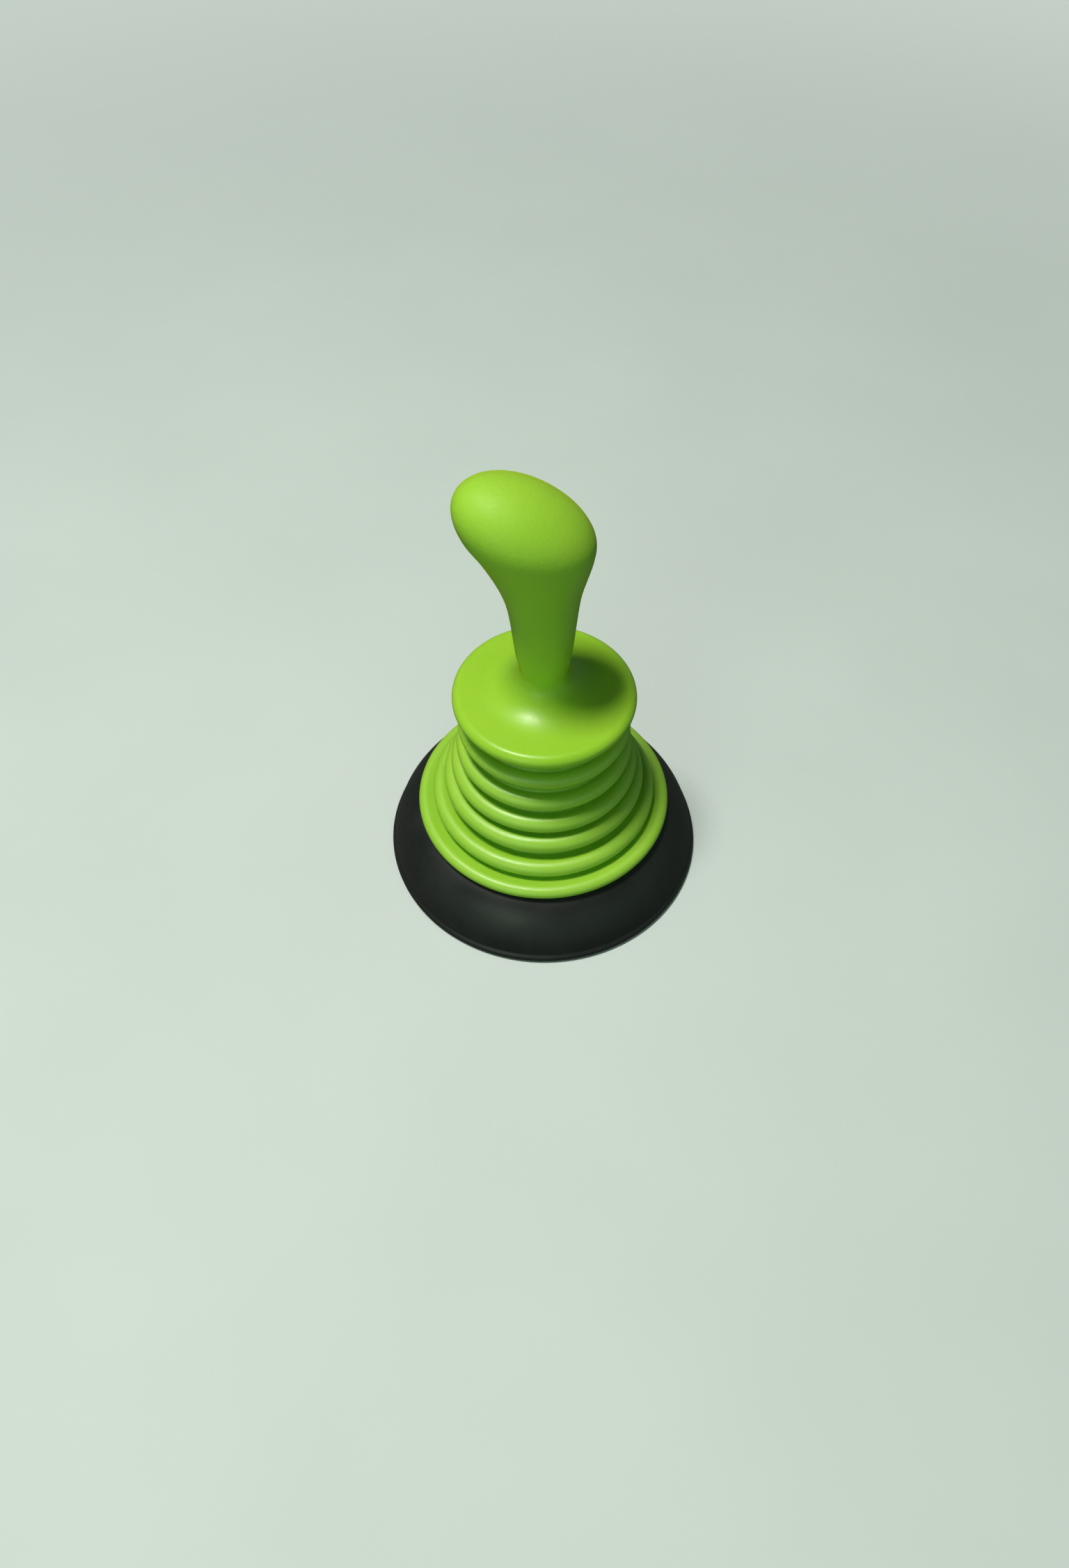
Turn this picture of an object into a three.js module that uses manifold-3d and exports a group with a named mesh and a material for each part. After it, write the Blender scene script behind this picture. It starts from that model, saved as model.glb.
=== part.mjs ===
// Sink plunger: a one-hand knob handle with a flange, a stepped lime bellows
// and a black rubber suction cup, with the fastening parts inside.
// Millimetres, +Z up. The origin is the centre of the cup's lip, on the plane
// the plunger stands on. The knob and the core inside it lean towards -X and
// are the same on the +Y and -Y sides. Apart from them and the screw's hexagon
// socket, everything is round about the Z axis.

import * as THREE from 'three';
import { mergeVertices } from 'three/addons/utils/BufferGeometryUtils.js';
import Module from 'manifold-3d';

const wasm = await Module();
wasm.setup();

// ---------------------------------------------------------------- dimensions
// _R is a radius about the Z axis, _Z a height above the lip plane.
const GAP = 0.3; // between neighbouring pieces

// handle flange and stem
const FLANGE_BOTTOM_Z = 81.0;
const FLANGE_TOP_Z = 87.0;
const FLANGE_R = 32.7;
const RIM_EDGE = (FLANGE_TOP_Z - FLANGE_BOTTOM_Z) / 2; // the rim is a full half round
const RIM_STEPS = 8;
const FILLET_REACH = 15.0; // radial reach of the fillet at the stem's foot
const FILLET_H = 10.0;
const FILLET_RISE = 0.25; // foot of the fillet above the flange top
const FILLET_SHAPE = 1.8; // 2 is a quarter ellipse, 1 a plain cone
const FILLET_STEPS = 7;
const STEM_R = 8.1; // thinnest radius of the stem

// Stem and knob: height above the flange top, centre in X, half width in X.
const HANDLE_SECTIONS = [
  [FILLET_H, -0.1, STEM_R], [13.5, -0.2, 8.75], [18, -0.31, 9.52],
  [23, -0.39, 10.08], [28.5, -0.45, 10.58], [34, -0.53, 11.1],
  [39.5, -0.67, 11.7], [45, -0.98, 12.58], [50, -1.32, 13.83],
  [54.5, -1.67, 15.28], [58.5, -2.09, 16.69], [62, -2.61, 17.91],
  [65.5, -3.37, 19.04], [68.5, -4.52, 19.78], [71.4, -6.01, 20.05],
  [74.5, -7.65, 19.74], [77.5, -9.39, 18.83], [80.2, -11.01, 17.43],
  [82.7, -12.49, 15.51], [84.8, -13.72, 13.25], [86.5, -14.72, 10.71],
  [87.8, -15.49, 7.95], [88.7, -16.02, 5.02], [89.3, -16.36, 0],
];
const KNOB_DEPTH = 0.88; // knob's Y width over its X width
const ROUND_UP_TO = 40; // height on the handle where the flattening starts
const FULL_DEPTH_FROM = 70; // height where it reaches KNOB_DEPTH

// rigid core inside the handle; its heights are above the flange top
const CORE_PLATE_R = 25.0;
const CORE_PLATE_TOP_Z = FLANGE_BOTTOM_Z + 2.6;
const CORE_FOOT_R = 6.6;
const CORE_NECK_R = 5.2;
const CORE_LEVELS = [8, 14, 22, 32, 42, 50, 56, 61, 65.5, 69, 72];
// height, thickness of the skin over the core
const CORE_SKIN = [[0, 2.6], [6, 2.4], [20, 2.9], [40, 3.6], [60, 5.2], [75, 6.6]];
const CORE_TAPER_START = 55;
const CORE_TAPER_END = 78;
const CORE_TAPER_AMOUNT = 0.85; // share of the width lost by the taper's end
const CORE_TAPER_POWER = 2.2;
const CORE_TIP = { height: CORE_TAPER_END - 3, halfX: 2.2, halfY: 2.0 };
const CORE_BORE_R = 3.3; // bore for the threaded insert
const CORE_BORE_TOP_Z = 90.5;

// bellows' deck and foot
const DECK_TOP_Z = FLANGE_BOTTOM_Z - GAP;
const DECK_BOTTOM_Z = 76.9;
const DECK_BORE_R = 2.6;
const FOOT_BOTTOM_Z = 24.5;
const FOOT_TOP_Z = 26.9; // inside face of the foot's inward flange
const FOOT_BORE_R = 34.0;

// gasket in the deck's seat
const GASKET_BORE_R = 3.0;
const GASKET_R = 21.4;
const GASKET_BOTTOM_Z = 79.3;
const GASKET_TOP_Z = DECK_TOP_Z - GAP;

// central fastening, from the deck downwards
const CLAMP_BORE_R = 2.4;
const CLAMP_R = 23.0;
const CLAMP_TOP_Z = DECK_BOTTOM_Z - GAP;
const CLAMP_BOTTOM_Z = 72.6;
const WASHER_BORE_R = 2.25;
const WASHER_R = 6.0;
const WASHER_TOP_Z = CLAMP_BOTTOM_Z - GAP;
const WASHER_BOTTOM_Z = 71.3;
const SCREW_R = 1.9; // M4 thread, drawn as a plain shank
const SCREW_TIP_Z = 89.0;
const SCREW_HEAD_R = 3.9;
const SCREW_HEAD_TOP_Z = WASHER_BOTTOM_Z - GAP;
const SCREW_HEAD_BOTTOM_Z = 68.4;
const SOCKET_FLATS = 2.5; // hexagon socket across flats
const SOCKET_DEPTH = 1.6;
const SOCKET_OVERCUT = 1.4; // how far the cutter starts below the head
const INSERT_BORE_R = 2.2;
const INSERT_R = 3.0;
const INSERT_GROOVE_R = INSERT_R - 0.35;
const INSERT_BOTTOM_Z = 81.5;
const INSERT_TOP_Z = 89.5;

// bellows' ribs, from the top down
const WALL = 1.6;
// radius and height of the rim's widest point, upper edge radius, inward fall
// of the upper face per millimetre, floor radius of the groove above the rib
const RIBS = [
  [31.3, 71.3, 3.0, 0.15, 26.8],
  [32.3, 59.5, 3.3, 0.15, 27.0],
  [34.7, 49.6, 3.4, 0.25, 28.3],
  [37.8, 41.2, 3.4, 0.3, 30.9],
  [42.5, 32.6, 3.1, 0.3, 34.3],
];
const GROOVE_FLARE = 0.3; // extra radius at the top of each groove's floor
const GROOVE_EDGE = 0.7;
const UNDER_FALL = 0.12; // inward fall of each rib's lower face
const UNDER_EDGE = 0.65; // lower edge radius over upper edge radius
// groove between the last rib and the bottom ring
const LAST_GROOVE_R = 39.9;
const LAST_GROOVE_Z = 27.7;
const LAST_GROOVE_EDGE = 0.6;
const RIB_EDGE_MIN = 1.2; // edges above this are rib rims, the rest grooves
const SKIRT_R = 48.7; // rim of the bottom ring
const SKIRT_TOP_Z = 29.93; // sharp corner of the bottom ring's upper edge
const OUTER_ARC = 1.1; // length of one step round the outer edges
const INNER_ARC = 1.8; // the same on the inner skin

// stiff hoop inside the cup's neck
const HOOP_BORE_R = 27.6;
const HOOP_R = 30.6;
const HOOP_TOP_Z = 31.0;
const HOOP_FLANGE_R = 34.5;
const HOOP_FLANGE_BOTTOM_Z = 18.0;
const HOOP_FLANGE_TOP_Z = 20.2;

// suction cup
const CUP_R = 61.0;
const CUP_SHOULDER_Z = FOOT_BOTTOM_Z - GAP; // flat shoulder under the bellows' foot
const CUP_NECK_R = FOOT_BORE_R - GAP;
const CUP_NECK_BORE_R = HOOP_R + GAP;
const CUP_BEAD_R = 37.0;
const CUP_BEAD_BOTTOM_Z = FOOT_TOP_Z + GAP;
const CUP_BEAD_TOP_Z = 30.2;

// ------------------------------------------------------------- mesh helpers
// Joins coincident vertices and drops the triangles that collapse, such as
// those of a turned outline on the axis.
function weld(geometry) {
  geometry.deleteAttribute('normal');
  geometry.deleteAttribute('uv');
  const welded = mergeVertices(geometry, 1e-4);
  const source = welded.index.array;
  const kept = [];
  for (let i = 0; i < source.length; i += 3) {
    const [a, b, c] = source.slice(i, i + 3);
    if (a !== b && b !== c && a !== c) kept.push(a, b, c);
  }
  welded.setIndex(kept);
  return welded;
}

function solidOf(geometry) {
  const welded = weld(geometry);
  return new wasm.Manifold(new wasm.Mesh({
    numProp: 3,
    vertProperties: new Float32Array(welded.attributes.position.array),
    triVerts: new Uint32Array(welded.index.array),
  }));
}

function indexedGeometry(positions, index) {
  const geometry = new THREE.BufferGeometry();
  const points = new THREE.BufferAttribute(new Float32Array(positions), 3);
  geometry.setAttribute('position', points);
  geometry.setIndex(new THREE.BufferAttribute(new Uint32Array(index), 1));
  return geometry;
}

function geometryOf(solid) {
  const mesh = solid.getMesh();
  return indexedGeometry(mesh.vertProperties, mesh.triVerts);
}

// A solid of revolution about +Z from a closed loop of [radius, height].
// LatheGeometry turns about +Y, so the result is stood up by 90 degrees.
// It faces outwards when the loop runs anticlockwise.
function revolve(loop, segments) {
  const points = loop.map(([r, z]) => new THREE.Vector2(r, z));
  if (THREE.ShapeUtils.area(points) < 0) points.reverse();
  points.push(points[0].clone());
  const geometry = new THREE.LatheGeometry(points, segments);
  geometry.rotateX(Math.PI / 2);
  return weld(geometry);
}

const rectangle = (innerR, outerR, bottom, top) =>
  [[innerR, bottom], [outerR, bottom], [outerR, top], [innerR, top]];

function cylinderSolid(radius, bottom, top, segments) {
  const geometry = new THREE.CylinderGeometry(radius, radius, top - bottom, segments);
  geometry.rotateX(Math.PI / 2);
  geometry.translate(0, 0, (bottom + top) / 2);
  return solidOf(geometry);
}

// A closed solid through horizontal ellipses [z, centre x, half x, half y],
// from the bottom up. A last section of zero size becomes a single point.
function loft(sections, segments) {
  const positions = [];
  const index = [];
  const addVertex = (x, y, z) => positions.push(x, y, z) / 3 - 1;
  const next = k => (k + 1) % segments;

  const rings = sections.map(([z, centreX, halfX, halfY]) => {
    if (halfX === 0) return [addVertex(centreX, 0, z)];
    return Array.from({ length: segments }, (_, k) => {
      const angle = (2 * Math.PI * k) / segments;
      return addVertex(centreX + halfX * Math.cos(angle), halfY * Math.sin(angle), z);
    });
  });

  for (let j = 0; j + 1 < rings.length; j++) {
    const low = rings[j];
    const high = rings[j + 1];
    for (let k = 0; k < segments; k++) {
      const n = next(k);
      if (high.length === 1) index.push(low[k], low[n], high[0]);
      else index.push(low[k], low[n], high[n], low[k], high[n], high[k]);
    }
  }

  const addCap = ([z, centreX], ring, facesUp) => {
    if (ring.length === 1) return;
    const centre = addVertex(centreX, 0, z);
    for (let k = 0; k < segments; k++) {
      if (facesUp) index.push(centre, ring[k], ring[next(k)]);
      else index.push(centre, ring[next(k)], ring[k]);
    }
  };
  addCap(sections[0], rings[0], false);
  addCap(sections.at(-1), rings.at(-1), true);
  return indexedGeometry(positions, index);
}

// ----------------------------------------------------------- handle and core
// Straight-line value of a column at x, the table's first column. Below the
// first row the first interval is carried on.
function interpolate(table, x, column) {
  const i = table.findIndex((row, k) => k > 0 && x <= row[0]);
  const before = table[i - 1];
  const after = table[i];
  const share = (x - before[0]) / (after[0] - before[0]);
  return before[column] + share * (after[column] - before[column]);
}

// Y width over X width at a height above the flange top.
const depthAt = height =>
  1 + (KNOB_DEPTH - 1) * THREE.MathUtils.smoothstep(height, ROUND_UP_TO, FULL_DEPTH_FROM);

const roundSection = (z, radius) => [z, 0, radius, radius];

// Flange underside, half-round rim, gently domed upper face, fillet, stem, knob.
function handleSections() {
  const rimCentreR = FLANGE_R - RIM_EDGE;
  const rimCentreZ = (FLANGE_TOP_Z + FLANGE_BOTTOM_Z) / 2;
  const sections = [roundSection(FLANGE_BOTTOM_Z, rimCentreR)];
  for (let i = 1; i < RIM_STEPS; i++) {
    const angle = -Math.PI / 2 + (Math.PI * i) / RIM_STEPS;
    const z = rimCentreZ + RIM_EDGE * Math.sin(angle);
    sections.push(roundSection(z, rimCentreR + RIM_EDGE * Math.cos(angle)));
  }
  sections.push(roundSection(FLANGE_TOP_Z, rimCentreR - 0.4));
  sections.push(roundSection(FLANGE_TOP_Z + 0.12, 26.5));

  for (let i = 0; i < FILLET_STEPS; i++) {
    const out = Math.pow(1 - i / FILLET_STEPS, 1.5); // crowds the steps at the stem
    const up = 1 - Math.pow(1 - Math.pow(1 - out, FILLET_SHAPE), 1 / FILLET_SHAPE);
    const z = FLANGE_TOP_Z + FILLET_RISE + (FILLET_H - FILLET_RISE) * up;
    sections.push(roundSection(z, STEM_R + FILLET_REACH * out));
  }

  for (const [height, centreX, halfX] of HANDLE_SECTIONS) {
    sections.push([FLANGE_TOP_Z + height, centreX, halfX, halfX * depthAt(height)]);
  }
  return sections;
}

// The core follows the handle at the depth of the skin over it; `grow` widens it.
function coreSections(grow) {
  const sections = [
    roundSection(FLANGE_BOTTOM_Z + 0.6, CORE_FOOT_R + grow),
    roundSection(FLANGE_TOP_Z + 1.0, CORE_FOOT_R + grow),
    roundSection(FLANGE_TOP_Z + 4.0, CORE_NECK_R + grow),
  ];
  for (const height of CORE_LEVELS) {
    const skin = interpolate(CORE_SKIN, height, 1);
    const full = interpolate(HANDLE_SECTIONS, height, 2) - skin + grow;
    const along = (height - CORE_TAPER_START) / (CORE_TAPER_END - CORE_TAPER_START);
    const taper = 1 - CORE_TAPER_AMOUNT * Math.pow(Math.max(0, along), CORE_TAPER_POWER);
    const centreX = interpolate(HANDLE_SECTIONS, height, 1);
    const halfX = full * taper;
    sections.push([FLANGE_TOP_Z + height, centreX, halfX, halfX * depthAt(height)]);
  }
  sections.push([
    FLANGE_TOP_Z + CORE_TIP.height + grow,
    interpolate(HANDLE_SECTIONS, CORE_TIP.height, 1),
    CORE_TIP.halfX + grow,
    CORE_TIP.halfY + grow,
  ]);
  return sections;
}

// Core with its round base plate, which starts at plateBottom.
function coreSolid(grow, plateBottom) {
  return solidOf(loft(coreSections(grow), 18))
    .add(cylinderSolid(CORE_PLATE_R + grow, plateBottom, CORE_PLATE_TOP_Z + grow, 32));
}

function handleGrip() {
  const cavity = coreSolid(GAP, FLANGE_BOTTOM_Z - 1);
  return geometryOf(solidOf(loft(handleSections(), 32)).subtract(cavity));
}

function handleCore() {
  const bore = cylinderSolid(CORE_BORE_R, FLANGE_BOTTOM_Z - 1, CORE_BORE_TOP_Z, 16);
  return geometryOf(coreSolid(0, FLANGE_BOTTOM_Z).subtract(bore));
}

// --------------------------------------------------------- central fastening
// Sleeve with one shallow groove round its outside.
function threadedInsert() {
  return revolve([
    [INSERT_BORE_R, INSERT_BOTTOM_Z],
    [INSERT_R, INSERT_BOTTOM_Z],
    [INSERT_R, INSERT_BOTTOM_Z + 3.2],
    [INSERT_GROOVE_R, INSERT_BOTTOM_Z + 3.4],
    [INSERT_GROOVE_R, INSERT_BOTTOM_Z + 4.6],
    [INSERT_R, INSERT_BOTTOM_Z + 4.8],
    [INSERT_R, INSERT_TOP_Z],
    [INSERT_BORE_R, INSERT_TOP_Z],
  ], 16);
}

// Pan head down, shank up, hexagon socket in the head's lower face.
function centreScrew() {
  const blank = solidOf(revolve([
    [0, SCREW_HEAD_BOTTOM_Z],
    [2.6, SCREW_HEAD_BOTTOM_Z],
    [3.4, SCREW_HEAD_BOTTOM_Z + 0.35],
    [SCREW_HEAD_R, SCREW_HEAD_BOTTOM_Z + 1.2],
    [SCREW_HEAD_R, SCREW_HEAD_TOP_Z],
    [SCREW_R, SCREW_HEAD_TOP_Z],
    [SCREW_R, SCREW_TIP_Z - 0.7],
    [SCREW_R - 0.6, SCREW_TIP_Z],
    [0, SCREW_TIP_Z],
  ], 16));
  const socket = cylinderSolid(
    SOCKET_FLATS / Math.sqrt(3),
    SCREW_HEAD_BOTTOM_Z - SOCKET_OVERCUT,
    SCREW_HEAD_BOTTOM_Z + SOCKET_DEPTH,
    6,
  );
  return geometryOf(blank.subtract(socket));
}

const screwWasher = () =>
  revolve(rectangle(WASHER_BORE_R, WASHER_R, WASHER_BOTTOM_Z, WASHER_TOP_Z), 20);

// Disc with a hub and a turned-down rim.
function clampPlate() {
  return revolve([
    [CLAMP_BORE_R, CLAMP_BOTTOM_Z],
    [7.2, CLAMP_BOTTOM_Z],
    [7.8, CLAMP_BOTTOM_Z + 1.6],
    [20.2, CLAMP_BOTTOM_Z + 1.6],
    [20.8, CLAMP_BOTTOM_Z + 0.3],
    [CLAMP_R - 0.4, CLAMP_BOTTOM_Z + 0.3],
    [CLAMP_R, CLAMP_BOTTOM_Z + 0.8],
    [CLAMP_R, CLAMP_TOP_Z],
    [CLAMP_BORE_R, CLAMP_TOP_Z],
  ], 28);
}

const deckGasket = () =>
  revolve(rectangle(GASKET_BORE_R, GASKET_R, GASKET_BOTTOM_Z, GASKET_TOP_Z), 28);

// ------------------------------------------------------------------- bellows
// Unit vector and distance from one [radius, height] point to another.
function direction(from, to) {
  const r = to[0] - from[0];
  const z = to[1] - from[1];
  const length = Math.hypot(r, z);
  return { r: r / length, z: z / length, length };
}

// Points on the arc that rounds a corner. `reach` is the distance from the
// corner to where the arc meets each side, `half` is half the corner's angle.
function cornerArc(before, corner, after, reach, half, arcStep) {
  const [r, z] = corner;
  const back = direction(corner, before);
  const ahead = direction(corner, after);
  const edge = reach * Math.tan(half);
  const middle = direction([0, 0], [back.r + ahead.r, back.z + ahead.z]);
  const centreR = r + (middle.r * edge) / Math.sin(half);
  const centreZ = z + (middle.z * edge) / Math.sin(half);
  const angleTo = side =>
    Math.atan2(z + side.z * reach - centreZ, r + side.r * reach - centreR);
  const start = angleTo(back);
  let turn = angleTo(ahead) - start;
  while (turn > Math.PI) turn -= 2 * Math.PI;
  while (turn < -Math.PI) turn += 2 * Math.PI;
  const steps = Math.max(1, Math.round((Math.abs(turn) * Math.max(edge, 0.9)) / arcStep));
  return Array.from({ length: steps + 1 }, (_, k) => {
    const angle = start + (turn * k) / steps;
    return [centreR + edge * Math.cos(angle), centreZ + edge * Math.sin(angle)];
  });
}

// An open path of [radius, height, edge radius] corners with its corners rounded.
// Neighbouring roundings share a side that is too short for both of them.
function rounded(corners, arcStep) {
  const last = corners.length - 1;
  const halves = corners.map((corner, i) => {
    if (i === 0 || i === last || !corner[2]) return 0;
    const back = direction(corner, corners[i - 1]);
    const ahead = direction(corner, corners[i + 1]);
    const cosine = back.r * ahead.r + back.z * ahead.z;
    return Math.acos(THREE.MathUtils.clamp(cosine, -1, 1)) / 2;
  });
  const wanted = halves.map((half, i) => (half ? corners[i][2] / Math.tan(half) : 0));
  const fitted = wanted.slice();
  for (let i = 0; i < last; i++) {
    const room = direction(corners[i], corners[i + 1]).length * 0.998;
    const both = wanted[i] + wanted[i + 1];
    if (both > room) {
      fitted[i] = Math.min(fitted[i], (wanted[i] * room) / both);
      fitted[i + 1] = Math.min(fitted[i + 1], (wanted[i + 1] * room) / both);
    }
  }
  const path = corners.flatMap((corner, i) => {
    if (fitted[i] < 0.05) return [[corner[0], corner[1]]];
    return cornerArc(corners[i - 1], corner, corners[i + 1], fitted[i], halves[i], arcStep);
  });
  return path.filter((p, i) =>
    i === 0 || Math.hypot(p[0] - path[i - 1][0], p[1] - path[i - 1][1]) > 0.05);
}

// The path moved inwards by a distance, without its two end corners.
function inset(corners, distance) {
  const shiftedSide = (from, to) => {
    const along = direction(from, to);
    return {
      r: from[0] + along.z * distance,
      z: from[1] - along.r * distance,
      along,
    };
  };
  return corners.slice(1, -1).map((corner, i) => {
    const p = shiftedSide(corners[i], corner);
    const q = shiftedSide(corner, corners[i + 2]);
    const travel = ((q.r - p.r) * q.along.z - (q.z - p.z) * q.along.r)
      / (p.along.r * q.along.z - p.along.z * q.along.r);
    const edge = corner[2];
    return [
      p.r + p.along.r * travel,
      p.z + p.along.z * travel,
      edge > RIB_EDGE_MIN ? Math.max(0.35, edge - distance) : edge + distance,
    ];
  });
}

// Sharp corners [radius, height, edge radius] of the outside, top to bottom.
function ribCorners() {
  // distance from a rim's widest point to the sharp corner of its rounding
  const overhang = (edge, fall) => edge / Math.tan((Math.PI / 2 - Math.atan(fall)) / 2);
  const corners = [[27.1, 77.7, 0.6]];
  let aboveR; // rim radius of the rib above
  let aboveZ; // its lower corner
  for (const [rimR, rimZ, edge, fall, grooveR] of RIBS) {
    if (aboveR !== undefined) {
      const grooveTopR = grooveR + GROOVE_FLARE;
      corners.push([grooveTopR, aboveZ - UNDER_FALL * (aboveR - grooveTopR), GROOVE_EDGE]);
    }
    const lowEdge = edge * UNDER_EDGE;
    const upperZ = rimZ + overhang(edge, fall);
    const lowerZ = rimZ - overhang(lowEdge, UNDER_FALL);
    corners.push(
      [grooveR, upperZ - fall * (rimR - grooveR), GROOVE_EDGE],
      [rimR, upperZ, edge],
      [rimR, lowerZ, lowEdge],
    );
    aboveR = rimR;
    aboveZ = lowerZ;
  }
  corners.push(
    [LAST_GROOVE_R + 0.2, aboveZ - 0.3, LAST_GROOVE_EDGE],
    [LAST_GROOVE_R, LAST_GROOVE_Z, LAST_GROOVE_EDGE],
  );
  return corners;
}

function bellows() {
  const outerCorners = ribCorners();
  const innerCorners = inset(outerCorners, WALL);
  // deck edge, ribs, bottom ring and foot
  const outerSkin = rounded([
    [27.2, DECK_TOP_Z],
    [28.7, DECK_TOP_Z, 1.0],
    [28.7, 78.4, 0.7],
    ...outerCorners,
    [SKIRT_R, SKIRT_TOP_Z, 2.6],
    [SKIRT_R, FOOT_BOTTOM_Z, 1.9],
    [45.0, FOOT_BOTTOM_Z],
  ], OUTER_ARC);
  const innerSkin = rounded([
    [innerCorners[0][0] + 0.1, DECK_BOTTOM_Z],
    ...innerCorners,
    [LAST_GROOVE_R - WALL, FOOT_TOP_Z],
  ], INNER_ARC);
  const seatR = GASKET_R + GAP;
  const seatZ = GASKET_BOTTOM_Z - GAP;
  return revolve([
    // shallow seat for the gasket
    [DECK_BORE_R, seatZ],
    [seatR, seatZ],
    [seatR, DECK_TOP_Z],
    ...outerSkin,
    [FOOT_BORE_R, FOOT_BOTTOM_Z],
    [FOOT_BORE_R, FOOT_TOP_Z],
    ...innerSkin.reverse(),
    [DECK_BORE_R, DECK_BOTTOM_Z],
  ], 34);
}

// ------------------------------------------------------------- hoop and cup
function neckHoop() {
  return revolve([
    [HOOP_BORE_R, HOOP_FLANGE_BOTTOM_Z],
    [HOOP_FLANGE_R - 0.4, HOOP_FLANGE_BOTTOM_Z],
    [HOOP_FLANGE_R, HOOP_FLANGE_BOTTOM_Z + 0.5],
    [HOOP_FLANGE_R, HOOP_FLANGE_TOP_Z],
    [HOOP_R, HOOP_FLANGE_TOP_Z + 0.2],
    [HOOP_R, HOOP_TOP_Z - 0.6],
    [HOOP_R - 0.6, HOOP_TOP_Z],
    [HOOP_BORE_R, HOOP_TOP_Z],
  ], 34);
}

// The neck bead hooks over the bellows' foot; the dome ends in a rounded lip
// bead with a flat seat on the plane z = 0. Points are [radius, height].
function suctionCup() {
  return revolve([
    // lip bead
    [56.0, 0], [59.8, 0], [60.7, 0.6], [CUP_R, 1.8], [60.7, 3.0], [59.8, 4.0],
    // outside of the dome
    [59.4, 6.0], [58.3, 9.5], [56.4, 13.6], [53.6, 18.0], [50.2, 21.5], [47.2, 23.4],
    // shoulder and neck
    [44.6, CUP_SHOULDER_Z], [CUP_NECK_R, CUP_SHOULDER_Z], [CUP_NECK_R, CUP_BEAD_BOTTOM_Z],
    // neck bead
    [CUP_BEAD_R - 0.4, CUP_BEAD_BOTTOM_Z], [CUP_BEAD_R, CUP_BEAD_BOTTOM_Z + 0.6],
    [CUP_BEAD_R - 0.9, CUP_BEAD_TOP_Z - 0.6], [CUP_BEAD_R - 2.4, CUP_BEAD_TOP_Z],
    // bore
    [CUP_NECK_BORE_R, CUP_BEAD_TOP_Z], [CUP_NECK_BORE_R, 20.9],
    // inside of the dome
    [36.5, 20.6], [42.0, 20.1], [46.6, 18.6], [50.4, 15.6], [53.2, 11.4],
    [54.9, 6.6], [55.5, 2.2],
  ], 40);
}

// ------------------------------------------------------------------ assembly
const FINISHES = {
  gripLime: { color: 0x93d42c, roughness: 0.45, metalness: 0 },
  bellowsLime: { color: 0x8fce2a, roughness: 0.38, metalness: 0 },
  corePale: { color: 0xe6e6df, roughness: 0.5, metalness: 0 },
  stiffPale: { color: 0xe0e0d8, roughness: 0.5, metalness: 0 },
  brass: { color: 0xc9a552, roughness: 0.3, metalness: 1 },
  screwSteel: { color: 0xb9bdc2, roughness: 0.25, metalness: 1 },
  washerSteel: { color: 0xc4c7ca, roughness: 0.3, metalness: 1 },
  gasketBlack: { color: 0x1c1c1d, roughness: 0.7, metalness: 0 },
  cupBlack: { color: 0x101112, roughness: 0.55, metalness: 0 },
};

const model = new THREE.Group();

function add(name, geometry, finish) {
  const mesh = new THREE.Mesh(geometry, new THREE.MeshStandardMaterial(finish));
  mesh.name = name;
  model.add(mesh);
}

add('handle_grip', handleGrip(), FINISHES.gripLime);
add('handle_core', handleCore(), FINISHES.corePale);
add('threaded_insert', threadedInsert(), FINISHES.brass);
add('centre_screw', centreScrew(), FINISHES.screwSteel);
add('screw_washer', screwWasher(), FINISHES.washerSteel);
add('clamp_plate', clampPlate(), FINISHES.stiffPale);
add('deck_gasket', deckGasket(), FINISHES.gasketBlack);
add('bellows', bellows(), FINISHES.bellowsLime);
add('neck_hoop', neckHoop(), FINISHES.stiffPale);
add('suction_cup', suctionCup(), FINISHES.cupBlack);

export default model;
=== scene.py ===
# Looks of a sink plunger: a lime handle with a leaning knob, a lime ribbed bellows
# and a black rubber suction cup, with the parts that clamp them together inside.
# The axis is Z, the cup's mouth stands on z = 0, the knob leans towards -X and the
# camera looks from the -Y side. The frame is in metres; the pieces are drawn in
# millimetres. Every piece takes the place of one CAD solid.

import math

import bmesh
import bpy
import numpy as np
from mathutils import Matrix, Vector


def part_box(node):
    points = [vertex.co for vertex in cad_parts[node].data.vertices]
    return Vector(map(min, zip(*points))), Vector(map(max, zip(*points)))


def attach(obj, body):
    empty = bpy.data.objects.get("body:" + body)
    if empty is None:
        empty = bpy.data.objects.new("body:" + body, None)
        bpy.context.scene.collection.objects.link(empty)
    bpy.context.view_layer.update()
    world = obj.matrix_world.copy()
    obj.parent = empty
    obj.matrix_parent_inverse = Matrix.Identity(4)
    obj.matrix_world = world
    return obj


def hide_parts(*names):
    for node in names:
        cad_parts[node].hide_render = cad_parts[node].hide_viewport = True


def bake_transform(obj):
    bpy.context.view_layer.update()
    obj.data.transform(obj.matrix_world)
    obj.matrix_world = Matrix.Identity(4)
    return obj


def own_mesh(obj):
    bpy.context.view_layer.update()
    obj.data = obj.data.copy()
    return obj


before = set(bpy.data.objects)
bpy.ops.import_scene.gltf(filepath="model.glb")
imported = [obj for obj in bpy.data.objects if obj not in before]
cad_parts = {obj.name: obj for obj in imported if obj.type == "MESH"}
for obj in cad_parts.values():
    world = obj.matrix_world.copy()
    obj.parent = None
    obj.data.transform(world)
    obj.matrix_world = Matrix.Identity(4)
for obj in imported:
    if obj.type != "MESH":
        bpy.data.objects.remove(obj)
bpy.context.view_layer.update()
MM = 0.001


def heights(node):
    """Bottom and top of a CAD solid, in mm."""
    return [corner.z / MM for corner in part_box(node)]


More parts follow.
